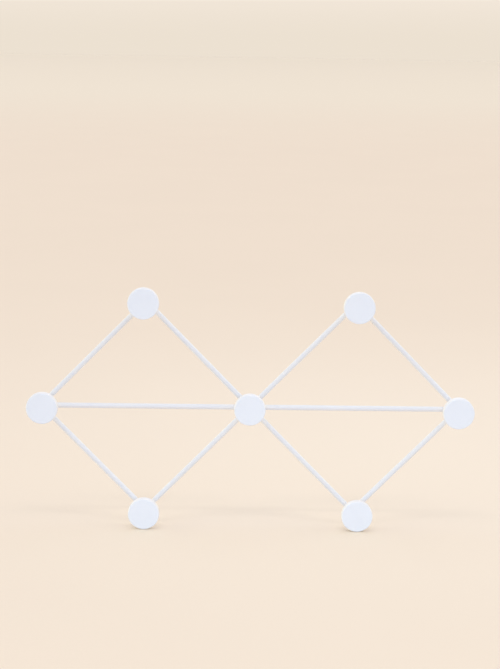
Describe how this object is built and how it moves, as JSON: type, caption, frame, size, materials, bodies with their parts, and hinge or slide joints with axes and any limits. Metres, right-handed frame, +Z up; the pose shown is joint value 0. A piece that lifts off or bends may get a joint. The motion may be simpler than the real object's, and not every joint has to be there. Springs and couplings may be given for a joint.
{
  "type": "wall coat rack",
  "caption": "White wall coat rack: round knobs on pegs at the corners of linked diamonds of welded round rod, hung from keyhole tabs behind the upper knobs.",
  "frame": {"origin": "on the wall plane behind the point where the six inner rods meet, on the rear end of the centre peg", "axes": "+X runs right along the rack as seen from the room, +Y points into the wall, so the knobs stand towards -Y, and +Z is up"},
  "size_m": [0.5022, 0.029, 0.2758],
  "materials": {
    "knob_coat": "fine white powder coat, satin",
    "frame_coat": "white powder coat, semi-gloss",
    "tab_coat": "white powder coat, satin"
  },
  "bodies": {
    "root": {"knob_left": "knob_coat", "knob_upper_left": "knob_coat", "knob_lower_left": "knob_coat", "knob_centre": "knob_coat", "knob_upper_right": "knob_coat", "knob_lower_right": "knob_coat", "knob_right": "knob_coat", "peg_left": "frame_coat", "peg_upper_left": "frame_coat", "peg_lower_left": "frame_coat", "peg_centre": "frame_coat", "peg_upper_right": "frame_coat", "peg_lower_right": "frame_coat", "peg_right": "frame_coat", "rod_left_upper_outer": "frame_coat", "rod_left_upper_inner": "frame_coat", "rod_left_middle": "frame_coat", "rod_left_lower_outer": "frame_coat", "rod_left_lower_inner": "frame_coat", "rod_right_upper_inner": "frame_coat", "rod_right_upper_outer": "frame_coat", "rod_right_middle": "frame_coat", "rod_right_lower_inner": "frame_coat", "rod_right_lower_outer": "frame_coat", "keyhole_hanger_upper_left": "tab_coat", "keyhole_hanger_upper_right": "tab_coat"}
  },
  "joints": []
}
